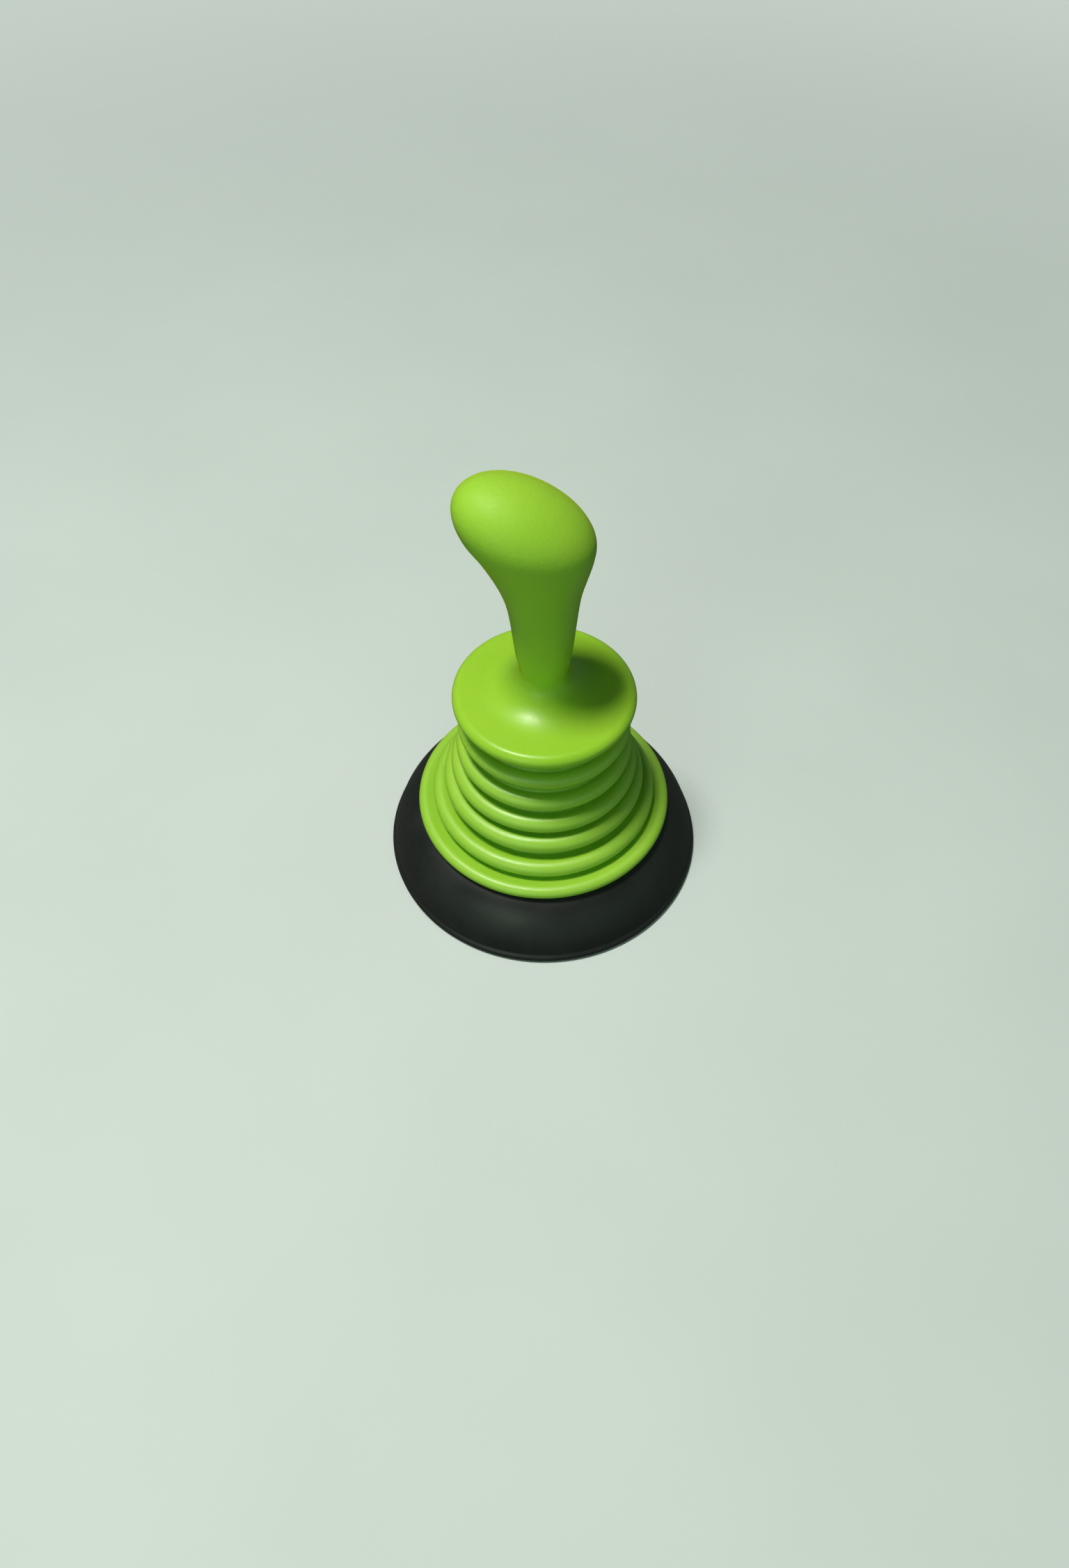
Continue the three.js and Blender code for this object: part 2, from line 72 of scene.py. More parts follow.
# ------------------------------------------------------ driving dimensions
FLANGE_BOTTOM, KNOB_TOP = heights("handle_grip")
FOOT_BOTTOM, DECK_TOP = heights("bellows")
FLANGE_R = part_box("handle_grip")[1].x / MM
SKIRT_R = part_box("bellows")[1].x / MM
CUP_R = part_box("suction_cup")[1].x / MM
RIM_R = 3.0  # the flange ends in a half-round rim
FLANGE_TOP = FLANGE_BOTTOM + 2 * RIM_R
THREAD_PITCH = 0.7

# Stem and knob: height over the flange, centre in X, half width in X
HANDLE = np.array([
    (10, -0.10, 8.1), (13.5, -0.20, 8.75), (18, -0.31, 9.52), (23, -0.39, 10.08),
    (28.5, -0.45, 10.58), (34, -0.53, 11.1), (39.5, -0.67, 11.7), (45, -0.98, 12.58),
    (50, -1.32, 13.83), (54.5, -1.67, 15.28), (58.5, -2.09, 16.69), (62, -2.61, 17.91),
    (65.5, -3.37, 19.04), (68.5, -4.52, 19.78), (71.4, -6.01, 20.05), (74.5, -7.65, 19.74),
    (77.5, -9.39, 18.83), (80.2, -11.01, 17.43), (82.7, -12.49, 15.51), (84.8, -13.72, 13.25),
    (86.5, -14.72, 10.71), (87.8, -15.49, 7.95), (88.7, -16.02, 5.02), (89.3, -16.36, 0.0),
])
# points beyond both ends, in the same columns, that steer the curve
HANDLE_ENDS = ((6.8, -0.02, 7.85), (88.7, -16.7, -5.02))


def smoothstep(x, start, end):
    t = min(1.0, max(0.0, (x - start) / (end - start)))
    return t * t * (3 - 2 * t)


# ----------------------------------------------------------------- profiles
# the pairs of knots each level of the spline blends between
SPLINE_LEVELS = [[(0, 1), (1, 2), (2, 3)], [(0, 2), (1, 3)], [(1, 2)]]


def catmull(points, per, ends=None):
    """Open centripetal Catmull-Rom through the points, with `per` samples a span."""
    control = [np.array(q, float) for q in points]
    first, last = ends or (control[0] * 2 - control[1], control[-1] * 2 - control[-2])
    control = [np.array(first, float)] + control + [np.array(last, float)]
    out = []
    for i in range(len(control) - 3):
        four = control[i:i + 4]
        knots = [0.0]
        for j in range(3):
            knots.append(knots[-1] + max(1e-6, np.linalg.norm(four[j + 1] - four[j])) ** 0.5)
        for k in range(per):
            t = knots[1] + (knots[2] - knots[1]) * k / per
            level = four
            for pairs in SPLINE_LEVELS:
                level = [
                    (knots[b] - t) / (knots[b] - knots[a]) * left
                    + (t - knots[a]) / (knots[b] - knots[a]) * right
                    for (a, b), left, right in zip(pairs, level, level[1:])
                ]
            out.append(level[0])
    out.append(control[-2])
    return out


def corner_arc(corner, before, after, tangent, half, splits):
    """Points round a corner. `before` and `after` are unit vectors along its sides,
    `half` is half the angle between them, and splits(turn, radius) counts the steps."""
    radius = tangent * math.tan(half)
    middle = (before + after) / np.linalg.norm(before + after)
    centre = corner + middle * radius / math.sin(half)
    start = corner + before * tangent - centre
    end = corner + after * tangent - centre
    angle = math.atan2(start[1], start[0])
    turn = (math.atan2(end[1], end[0]) - angle + math.pi) % (2 * math.pi) - math.pi
    count = splits(abs(turn), radius)
    return [(centre[0] + radius * math.cos(angle + turn * k / count),
             centre[1] + radius * math.sin(angle + turn * k / count)) for k in range(count + 1)]


def fillet(corners, closed=False):
    """Rounds corners (r, z, edge radius), each within half of its two sides."""
    def splits(turn, radius):
        return max(2, math.ceil(turn * radius / 0.28), math.ceil(turn / 0.28))

    total = len(corners)
    out = []
    for i, (r, z, edge) in enumerate(corners):
        corner = np.array((r, z), float)
        if (not closed and i in (0, total - 1)) or edge <= 0:
            out.append(tuple(corner))
            continue
        before = np.array(corners[i - 1][:2], float) - corner
        after = np.array(corners[(i + 1) % total][:2], float) - corner
        len_before, len_after = np.linalg.norm(before), np.linalg.norm(after)
        before, after = before / len_before, after / len_after
        half = math.acos(max(-1.0, min(1.0, float(before @ after)))) / 2
        if half > math.pi / 2 - 0.02:
            out.append(tuple(corner))
            continue
        tangent = min(edge / math.tan(half), len_before * 0.49, len_after * 0.49)
        out += corner_arc(corner, before, after, tangent, half, splits)
    return out


def rounded(corners, step=0.32):
    """An open path of (r, z, edge radius). Neighbouring arcs share the side between them."""
    def splits(turn, radius):
        return max(3, math.ceil(turn * radius / step))

    total = len(corners)
    spots = [np.array(q[:2], float) for q in corners]
    half, reach = [0.0] * total, [0.0] * total
    for i in range(1, total - 1):
        before, after = spots[i - 1] - spots[i], spots[i + 1] - spots[i]
        if corners[i][2] > 0:
            cosine = float(before @ after) / np.linalg.norm(before) / np.linalg.norm(after)
            half[i] = math.acos(max(-1, min(1, cosine))) / 2
            reach[i] = corners[i][2] / math.tan(half[i])
    fit = list(reach)
    for i in range(total - 1):
        room = math.dist(corners[i][:2], corners[i + 1][:2]) * 0.998
        want = reach[i] + reach[i + 1]
        if want > room:
            fit[i] = min(fit[i], reach[i] * room / want)
            fit[i + 1] = min(fit[i + 1], reach[i + 1] * room / want)
    out = []
    for i, corner in enumerate(spots):
        if fit[i] < 0.03:
            out.append(tuple(corner))
            continue
        before, after = spots[i - 1] - corner, spots[i + 1] - corner
        before, after = before / np.linalg.norm(before), after / np.linalg.norm(after)
        out += corner_arc(corner, before, after, fit[i], half[i], splits)
    return clean(out, least=0.03)


def inset(corners, wall):
    """The inner corners of the path, moved in by the wall."""
    def moved_side(start, end):
        along = (np.array(end[:2]) - np.array(start[:2])) / math.dist(start[:2], end[:2])
        return np.array(start[:2]) + wall * np.array((along[1], -along[0])), along

    out = []
    for before, corner, after in zip(corners, corners[1:], corners[2:]):
        start, along = moved_side(before, corner)
        other, across = moved_side(corner, after)
        gap = other - start
        t = (gap[0] * across[1] - gap[1] * across[0]) / (along[0] * across[1] - along[1] * across[0])
        edge = corner[2]
        out.append((*(start + along * t), max(0.35, edge - wall) if edge > 1.2 else edge + wall))
    return out


def resample(points, step, closed=False):
    """Splits long stretches so no edge along the profile is longer than step."""
    out = []
    total = len(points)
    for i in range(total if closed else total - 1):
        start, end = np.array(points[i], float), np.array(points[(i + 1) % total], float)
        count = max(1, math.ceil(np.linalg.norm(end - start) / step))
        out += [tuple(start + (end - start) * k / count) for k in range(count)]
    if not closed:
        out.append(tuple(points[-1]))
    return out


def clean(points, closed=False, least=0.02):
    """Drops points that lie closer than `least` to the one before."""
    out = [points[0]]
    for q in points[1:]:
        if math.dist(q, out[-1]) > least:
            out.append(q)
    if closed and math.dist(out[0], out[-1]) <= least:
        out.pop()
    return out


# ------------------------------------------------------------------- meshes
def angles(segments):
    return np.arange(segments) * 2 * math.pi / segments


def circle_ring(radius, z, segments, centre=0.0, ratio=1.0):
    """A level ring; radius may be an array, and ratio is its depth in Y over its width."""
    turn = angles(segments)
    return np.stack([centre + radius * np.cos(turn), ratio * radius * np.sin(turn),
                     np.full(segments, z)], 1)


def rest_positions(mesh):
    spots = np.zeros(len(mesh.vertices) * 3, np.float32)
    mesh.vertices.foreach_get("co", spots)
    return spots


def skin(name, rings, loop=False):
    """A closed mesh through rings of points (mm). A ring of one point is a pole."""
    verts, faces, ids = [], [], []
    for ring in rings:
        ring = np.atleast_2d(np.array(ring, float))
        ids.append(range(len(verts), len(verts) + len(ring)))
        verts.extend(map(tuple, ring * MM))
    for low, high in zip(ids, ids[1:] + (ids[:1] if loop else [])):
        count = max(len(low), len(high))
        for k in range(count):
            m = (k + 1) % count
            if len(low) == 1:
                faces.append((low[0], high[m], high[k]))
            elif len(high) == 1:
                faces.append((low[k], low[m], high[0]))
            else:
                faces.append((low[k], low[m], high[m], high[k]))
    mesh = bpy.data.meshes.new(name)
    mesh.from_pydata(verts, [], faces)
    edit = bmesh.new()
    edit.from_mesh(mesh)
    bmesh.ops.remove_doubles(edit, verts=edit.verts, dist=1e-8)
    bmesh.ops.recalc_face_normals(edit, faces=edit.faces)
    if edit.calc_volume(signed=True) < 0:
        bmesh.ops.reverse_faces(edit, faces=edit.faces)
    for face in edit.faces:
        face.smooth = True
    for edge in edit.edges:
        if len(edge.link_faces) == 2 and edge.calc_face_angle(0.0) > math.radians(38):
            edge.smooth = False
    edit.to_mesh(mesh)
    edit.free()
    piece = bpy.data.objects.new(name, mesh)
    bpy.context.scene.collection.objects.link(piece)
    # textures follow the rest shape when a piece is squashed
    rest = mesh.attributes.new("rest_pos", "FLOAT_VECTOR", "POINT")
    rest.data.foreach_set("vector", rest_positions(mesh))
    return piece


def lathe(name, profile, segments):
    """A closed (r, z) profile turned round the axis."""
    return skin(name, [circle_ring(r, z, segments) for r, z in profile], loop=True)


def turned(name, corners, segments, step=None):
    """A ring-shaped piece from the (r, z, edge radius) corners of its section."""
    profile = clean(fillet(corners, closed=True), True)
    if step:
        profile = resample(profile, step, True)
    return lathe(name, profile, segments)


def finish_piece(piece, material, node, body):
    piece.data.materials.append(material)
    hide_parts(node)
    if body:
        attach(piece, body)


# -------------------------------------------------------------- node trees
class Tree:
    """A short way to write a node tree."""

    def __init__(self, tree):
        self.tree = tree

    def link(self, source, socket):
        self.tree.links.new(source, socket)

    def put(self, socket, value):
        if isinstance(value, bpy.types.NodeSocket):
            self.link(value, socket)
        else:
            socket.default_value = value

    def node(self, kind, inputs=None, **settings):
        """A new node; inputs are keyed by name or number."""
        made = self.tree.nodes.new("ShaderNode" + kind)
        for key, value in settings.items():
            setattr(made, key, value)
        for key, value in (inputs or {}).items():
            self.put(made.inputs[key], value)
        return made

    def calc(self, operation, *values):
        return self.node("Math", dict(enumerate(values)), operation=operation).outputs[0]

    def add(self, left, right):
        return self.calc("ADD", left, right)

    def mul(self, left, right):
        return self.calc("MULTIPLY", left, right)

    def hypot(self, x, y):
        return self.calc("SQRT", self.add(self.mul(x, x), self.mul(y, y)))

    def span(self, value, over=(0.3, 0.7), to=(0.0, 1.0), smooth=False):
        """Maps the range `over` onto the range `to`."""
        return self.node("MapRange", {
            "Value": value, "From Min": over[0], "From Max": over[1],
            "To Min": to[0], "To Max": to[1],
        }, interpolation_type="SMOOTHSTEP" if smooth else "LINEAR").outputs["Result"]

    def xyz(self, vector):
        return self.node("SeparateXYZ", {0: vector}).outputs

    def coords(self, kind):
        return self.node("TexCoord").outputs[kind]


class Material(Tree):
    """A material around one Principled shader."""

    def __init__(self, name):
        self.material = bpy.data.materials.new(name)
        self.material.use_nodes = True
        super().__init__(self.material.node_tree)
        self.tree.nodes.clear()
        self.output = self.node("OutputMaterial")
        self.shader = self.node("BsdfPrincipled")
        self.link(self.shader.outputs["BSDF"], self.output.inputs["Surface"])

    def set(self, values):
        for name, value in values.items():
            self.put(self.shader.inputs[name], value)

    def pos(self):
        return self.node("Attribute", attribute_name="rest_pos").outputs["Vector"]

    def attr(self, name):
        return self.node("Attribute", attribute_name=name).outputs["Fac"]

    def noise(self, scale, detail=3.0, rough=0.5, at=None, distort=0.0):
        return self.node("TexNoise", {
            "Scale": scale, "Detail": detail, "Roughness": rough, "Distortion": distort,
            "Vector": at or self.pos(),
        }).outputs["Fac"]

    def voronoi(self, scale, at=None, feature="F1"):
        inputs = {"Scale": scale, "Vector": at or self.pos()}
        return self.node("TexVoronoi", inputs, feature=feature).outputs["Distance"]

    def mix(self, amount, under, over):
        """Lays colour `over` on `under`; each is (r, g, b) or a socket."""
        under, over = (c if isinstance(c, bpy.types.NodeSocket) else (*c, 1.0)
                       for c in (under, over))
        return self.node("Mix", {"Factor": amount, 6: under, 7: over},
                         data_type="RGBA", blend_type="MIX").outputs[2]

    def bump(self, height, distance, strength, normal=None):
        inputs = {"Distance": distance, "Strength": strength, "Height": height}
        if normal:
            inputs["Normal"] = normal
        return self.node("Bump", inputs).outputs["Normal"]

    def edge(self, start, end):
        """0 face on, 1 where the surface turns away from the eye."""
        facing = self.node("LayerWeight", {"Blend": 0.5}).outputs["Facing"]
        return self.span(facing, over=(start, end), smooth=True)

    def not_under(self):
        """1 on walls and tops, 0 on faces that look down."""
        normal = self.node("NewGeometry").outputs["Normal"]
        return self.span(self.xyz(normal)[2], over=(-0.50, -0.05), smooth=True)

    def round_pos(self, around, up):
        """(angle, height, radius) coordinates, so a pattern can run round the axis."""
        x, y, z = self.xyz(self.pos())
        return self.node("CombineXYZ", {
            0: self.mul(self.calc("ARCTAN2", y, x), around),
            1: self.mul(z, up),
            2: self.mul(self.hypot(x, y), up),
        }).outputs[0]


# ---------------------------------------------------------------- materials
MIDDLE = (0.35, 0.65)  # a tighter part of a noise's range than span's own


def lime_colour(mat, fine, patch_scale, deep, pale, speckle):
    """Broad patches between two limes, with fine darker specks."""
    patches = mat.noise(scale=patch_scale, detail=2)
    colour = mat.mix(mat.span(patches, over=MIDDLE), deep, pale)
    return mat.mix(mat.span(fine, to=(0.0, speckle)), colour, (0.20, 0.50, 0.018))


def lime_skin(mat, ior, gloss, gloss_edge, scatter, scatter_scale):
    """Light leaks through the skin, and its gloss fades at the outline and underneath."""
    inward = mat.calc("SUBTRACT", 1.0, mat.edge(*gloss_edge))
    mat.set({
        "IOR": ior,
        "Specular IOR Level": mat.mul(mat.mul(inward, mat.not_under()), gloss),
        "Subsurface Weight": scatter,
        "Subsurface Radius": (0.75, 1.2, 0.22),
        "Subsurface Scale": scatter_scale,
    })


def lime_grip():
    mat = Material("lime_soft_touch")
    fine = mat.noise(scale=1400, detail=2, rough=0.6)
    colour = lime_colour(mat, fine, patch_scale=22, deep=(0.325, 0.625, 0.032),
                         pale=(0.362, 0.655, 0.041), speckle=0.10)
    # the knob is duller than the stem, and carries faint smears
    knob_range = ((FLANGE_TOP + 52) * MM, (KNOB_TOP - 4) * MM)
    knob = mat.span(mat.xyz(mat.pos())[2], over=knob_range, smooth=True)
    smear = mat.noise(scale=70, detail=4, rough=0.62, distort=0.8)
    rough = mat.add(mat.span(fine, to=(0.295, 0.345)),
                    mat.span(smear, over=(0.42, 0.72), to=(0.0, 0.045)))
    rough = mat.add(rough, mat.mul(knob, mat.span(smear, to=(0.20, 0.27))))
    # painted shade: where the surface turns from the eye, the outline is tinted a darker olive
    colour = mat.mix(mat.mul(mat.edge(0.45, 1.0), 0.55), colour, (0.36, 0.50, 0.020))
    mat.set({"Base Color": colour, "Roughness": rough})
    lime_skin(mat, ior=1.49, gloss=0.38, gloss_edge=(0.60, 0.88), scatter=0.30,
              scatter_scale=0.0030)
    peel = mat.bump(mat.noise(scale=260, detail=2), distance=0.00006, strength=0.55)
    # fine hide-like pebbling, deepest on the knob and fading out down the stem
    shake = mat.node("TexNoise", {"Scale": 420, "Vector": mat.pos()}).outputs["Color"]
    shift = mat.node("VectorMath", {0: shake, "Scale": 0.0011}, operation="SCALE").outputs[0]
    warped = mat.node("VectorMath", {0: mat.pos(), 1: shift}, operation="ADD").outputs[0]
    cells = mat.voronoi(scale=900, at=warped, feature="SMOOTH_F1")
    pebble = mat.span(cells, over=(0.10, 0.75), to=(1.0, 0.0), smooth=True)
    grain = mat.mul(mat.noise(scale=1500, rough=0.6), 0.35)
    depth = mat.add(0.10, mat.mul(knob, 0.90))
    hide = mat.mul(mat.add(pebble, grain), depth)
    mat.set({"Normal": mat.bump(hide, distance=0.00007, strength=0.55, normal=peel)})
    return mat.material


def lime_bellows():
    mat = Material("lime_bellows")
    fine = mat.noise(scale=1500, detail=2, rough=0.6)
    crest = mat.attr("crest")  # 0 in the grooves, 1 on the crests
    colour = lime_colour(mat, fine, patch_scale=26, deep=(0.325, 0.625, 0.034),
                         pale=(0.358, 0.650, 0.042), speckle=0.08)
    # the crests are a touch paler, and painted shade darkens the grooves in patches
    pale = mat.span(crest, over=(0.72, 1.0), to=(0.0, 0.22), smooth=True)
    colour = mat.mix(pale, colour, (0.405, 0.70, 0.062))
    patchy = mat.span(mat.noise(scale=120, detail=4, rough=0.6), to=(0.25, 0.6))
    groove_shade = mat.mul(mat.span(crest, over=(0.34, 0.0), smooth=True), patchy)
    colour = mat.mix(groove_shade, colour, (0.15, 0.40, 0.012))
    # fine rubbing marks that run round the rings
    rub = mat.noise(scale=1.0, rough=0.7, at=mat.round_pos(around=14.0, up=2600.0))
    scuff = mat.mul(mat.span(crest, over=(0.55, 1.0), smooth=True),
                    mat.span(rub, over=(0.52, 0.74)))
    rough = mat.add(mat.span(mat.noise(scale=55, rough=0.6), to=(0.41, 0.48)),
                    mat.mul(scuff, 0.13))
    # painted shade: where the surface turns from the eye, the outline is a deeper green
    colour = mat.mix(mat.mul(mat.edge(0.50, 1.0), 0.30), colour, (0.30, 0.56, 0.016))
    mat.set({"Base Color": colour, "Roughness": rough})
    lime_skin(mat, ior=1.50, gloss=0.85, gloss_edge=(0.55, 0.85), scatter=0.38,
              scatter_scale=0.0032)
    peel = mat.bump(mat.noise(scale=210, detail=2), distance=0.00008, strength=0.6)
    lines = mat.bump(rub, distance=0.000012, strength=0.5, normal=peel)
    mat.set({"Normal": mat.bump(fine, distance=0.000014, strength=0.5, normal=lines)})
    return mat.material


def black_rubber(name, base, rough_range):
    mat = Material(name)
    broad = mat.noise(scale=40, detail=4, rough=0.6, distort=0.6)
    fine = mat.noise(scale=1700, detail=2, rough=0.6)
    colour = mat.mix(mat.span(broad, over=(0.4, 0.75)), (base, base * 1.03, base * 1.08),
                     (base * 1.9, base * 1.95, base * 2.0))
    # pale bloom, as on dried rubber
    patches = mat.noise(scale=95, detail=5, rough=0.7, distort=1.2)
    bloom = mat.mul(mat.span(patches, over=(0.55, 0.8)), mat.span(fine, over=MIDDLE))
    colour = mat.mix(mat.mul(bloom, 0.35), colour, (0.030, 0.032, 0.032))
    rough = mat.add(mat.span(broad, to=rough_range), mat.mul(bloom, 0.1))
    flow = mat.noise(scale=1.0, rough=0.6, at=mat.round_pos(around=9.0, up=900.0))
    flow = mat.bump(flow, distance=0.00002, strength=0.5)
    peel = mat.bump(mat.noise(scale=330, rough=0.55), distance=0.00005, strength=0.5,
                    normal=flow)
    grain = mat.bump(mat.voronoi(scale=2200), distance=0.000022, strength=0.5, normal=peel)
    mat.set({"Base Color": colour, "Roughness": rough, "IOR": 1.52, "Normal": grain})
    return mat.material


def natural_nylon():
    mat = Material("natural_nylon")
    patches = mat.span(mat.noise(scale=60), over=MIDDLE)
    grain = mat.noise(scale=1500, detail=2, rough=0.6)
    mat.set({
        "Base Color": mat.mix(patches, (0.70, 0.69, 0.63), (0.76, 0.75, 0.70)),
        "Roughness": mat.span(mat.noise(scale=300, rough=0.6), to=(0.42, 0.55)),
        "Subsurface Weight": 0.2,
        "Subsurface Radius": (1.0, 0.9, 0.7),
        "Subsurface Scale": 0.002,
        "Normal": mat.bump(grain, distance=0.00003, strength=0.5),
    })
    return mat.material


def metal(name, dark, light, rough):
    """Turned metal, with fine marks round the axis."""
    mat = Material(name)
    marks = mat.noise(scale=1.0, detail=2, rough=0.6, at=mat.round_pos(around=3.0, up=9000.0))
    mat.set({
        "Base Color": mat.mix(mat.span(mat.noise(scale=400, rough=0.6)), dark, light),
        "Metallic": 1.0,
        "Roughness": mat.add(rough, mat.span(marks, to=(-0.05, 0.08))),
        "Normal": mat.bump(marks, distance=0.000010, strength=0.6),
    })
    return mat.material


GRIP_LIME = lime_grip()
BELLOWS_LIME = lime_bellows()
RUBBER = black_rubber("black_rubber", base=0.0060, rough_range=(0.40, 0.56))
GASKET_RUBBER = black_rubber("gasket_rubber", base=0.018, rough_range=(0.6, 0.75))
NYLON = natural_nylon()
STEEL = metal("stainless", dark=(0.56, 0.57, 0.58), light=(0.66, 0.66, 0.66), rough=0.26)
BRASS = metal("brass", dark=(0.72, 0.52, 0.20), light=(0.80, 0.60, 0.27), rough=0.30)

# ---------------------------------------------------------- handle and core
KNOB_DEPTH = 0.88  # the knob's depth in Y over its width in X
STEM_R = HANDLE[0][2]
FLARE_R, FLARE_H, FLARE_POWER = 15.0, 10.0, 1.8  # superellipse from flange to stem
RIM_CENTRE_R = FLANGE_R - RIM_R

CORE_GAP = 0.3  # between the core and the grip's cavity
CORE_FOOT_R = 6.6
PLATE_R = 25.0
PLATE_TOP = FLANGE_BOTTOM + 2.6
BORE_R, BORE_TOP = 3.3, FLANGE_BOTTOM + 9.5
# grip wall round the core: height over the flange, thickness
CORE_WALL = [(0, 2.6), (6, 2.4), (20, 2.9), (40, 3.6), (60, 5.2), (75, 6.6)]
CORE_TAPER = (55, 78.0)  # heights over the flange where the extra taper starts and ends
CORE_DOME = (60, 15.0)  # height over the flange where the top starts to close, and its span
# heights over the flange at which the core follows the handle
CORE_HEIGHTS = [8, 11, 14, 18, 22, 27, 32, 37, 42, 46, 50, 53, 56, 59, 61.5, 64, 66, 68, 70,
                71.3, 72.5, 73.4, 74.1]


def depth_at(height):
    return 1 + (KNOB_DEPTH - 1) * smoothstep(height, 40, 70)


def handle_at(height):
    """Centre and half width in X at a height over the flange."""
    return [float(np.interp(height, HANDLE[:, 0], HANDLE[:, k])) for k in (1, 2)]


def core_sections(grow):
    """(z, centre in X, half width, half depth) of the core, from its foot up."""
    foot, neck = CORE_FOOT_R + grow, 5.2 + grow
    out = [(FLANGE_BOTTOM + 3.4, 0, foot, foot), (FLANGE_TOP + 1.0, 0, foot, foot),
           (FLANGE_TOP + 4.0, 0, neck, neck)]
    for height in CORE_HEIGHTS:
        centre, half_width = handle_at(height)
        half_width = half_width - float(np.interp(height, *zip(*CORE_WALL))) + grow
        rise = max(0.0, (height - CORE_TAPER[0]) / (CORE_TAPER[1] - CORE_TAPER[0]))
        taper = 1 - 0.85 * rise ** 2.2
        dome = math.sqrt(max(0.0, 1 - max(0.0, (height - CORE_DOME[0]) / CORE_DOME[1]) ** 3))
        out.append((FLANGE_TOP + height, centre, half_width * taper * dome,
                    half_width * depth_at(height) * taper * dome))
    out.append((FLANGE_TOP + 74.6 + grow, handle_at(75)[0], 0.8, 0.75))
    return out


def core_rings(grow, top_rise, segments):
    """The core's top pole and the rings below it, downwards."""
    sections = core_sections(grow)
    top_z, top_centre = sections[-1][:2]
    rings = [[(top_centre, 0, top_z + top_rise)]]
    for z, centre, width, depth in reversed(sections):
        rings.append(circle_ring(width, z, segments, centre, depth / width))
    return rings


def grip_rings(segments=160):
    # cavity for the core, down to the foot plate's recess
    rings = core_rings(CORE_GAP, 0.0, segments)
    recess_top, recess_r = PLATE_TOP + CORE_GAP, PLATE_R + CORE_GAP
    cavity_r = CORE_FOOT_R + CORE_GAP
    rings.append(circle_ring(cavity_r, recess_top + 0.3, segments))
    recess = fillet([
        (cavity_r, recess_top + 0.3, 0), (7.2, recess_top, 0), (recess_r, recess_top, 0.4),
        (recess_r, FLANGE_BOTTOM, 0.25), (RIM_CENTRE_R, FLANGE_BOTTOM, 0)])
    rings += [circle_ring(r, z, segments) for r, z in recess[1:]]
    # half-round rim
    for i in range(1, 25):
        angle = -math.pi / 2 + math.pi * i / 25
        rings.append(circle_ring(RIM_CENTRE_R + RIM_R * math.cos(angle),
                                 FLANGE_TOP - RIM_R + RIM_R * math.sin(angle), segments))
    # upper face of the flange and the flare into the stem
    face = [(RIM_CENTRE_R, FLANGE_TOP), (RIM_CENTRE_R - 1.5, FLANGE_TOP + 0.03),
            (27.0, FLANGE_TOP + 0.08), (25.0, FLANGE_TOP + 0.12)]
    for i in range(1, 26):
        x = 1 - (i / 25) ** 1.5
        y = 1 - (1 - (1 - x) ** FLARE_POWER) ** (1 / FLARE_POWER)
        face.append((STEM_R + FLARE_R * x, FLANGE_TOP + 0.16 + (FLARE_H - 0.16) * y))
    for r, z in clean(catmull(face, 3)[:-1], least=0.10):
        centre = HANDLE[0][1] * smoothstep(z - FLANGE_TOP, 0.0, FLARE_H)
        rings.append(circle_ring(r, z, segments, centre))
    # stem and knob; the last point of the curve is the pole
    for height, centre, half_width in catmull(HANDLE, 6, ends=HANDLE_ENDS):
        if half_width < 0.05:
            break
        rings.append(circle_ring(half_width, FLANGE_TOP + height, segments, centre,
                                 depth_at(height)))
    rings.append([(HANDLE[-1][1], 0, KNOB_TOP)])
    return rings


def core_with_plate_rings(segments=72):
    """Core, round foot plate and blind bore."""
    rings = core_rings(0.0, 0.05, segments)
    plate = fillet([
        (CORE_FOOT_R, PLATE_TOP + 0.8, 0), (6.9, PLATE_TOP, 0.5), (PLATE_R, PLATE_TOP, 0.4),
        (PLATE_R, FLANGE_BOTTOM, 0.4), (BORE_R, FLANGE_BOTTOM, 0.3), (BORE_R, BORE_TOP, 0),
        (0.4, BORE_TOP, 0)])
    rings += [circle_ring(r, z, segments) for r, z in plate[1:]]
    rings.append([(0, 0, BORE_TOP)])
    return rings


grip = skin("handle_grip_moulding", grip_rings())
finish_piece(grip, GRIP_LIME, "handle_grip", "handle")

core = skin("handle_core_moulding", core_with_plate_rings())
finish_piece(core, NYLON, "handle_core", "handle")

# ------------------------------------------------------- central fastening
INSERT_LO, INSERT_HI = heights("threaded_insert")
INSERT_R, INSERT_BORE_R = 2.88, 2.42
KNURL_TEETH, KNURL_PITCH, KNURL_HALF = 24, 1.3, 0.045
INSERT_END = 0.6  # height over which the inner thread runs out at each end

SCREW_LO, SCREW_HI = heights("centre_screw")
HEAD_TOP = SCREW_LO + 2.6  # the head is at the bottom, and the shank points up
HEAD_R, SHANK_R = 3.9, 1.9
HEX_HALF = 1.25  # half the hexagon socket's width across flats


def triangle(turns):
    """A wave with period 1: 1 at whole turns, 0 half way between."""
    return np.abs(turns % 1 - 0.5) * 2


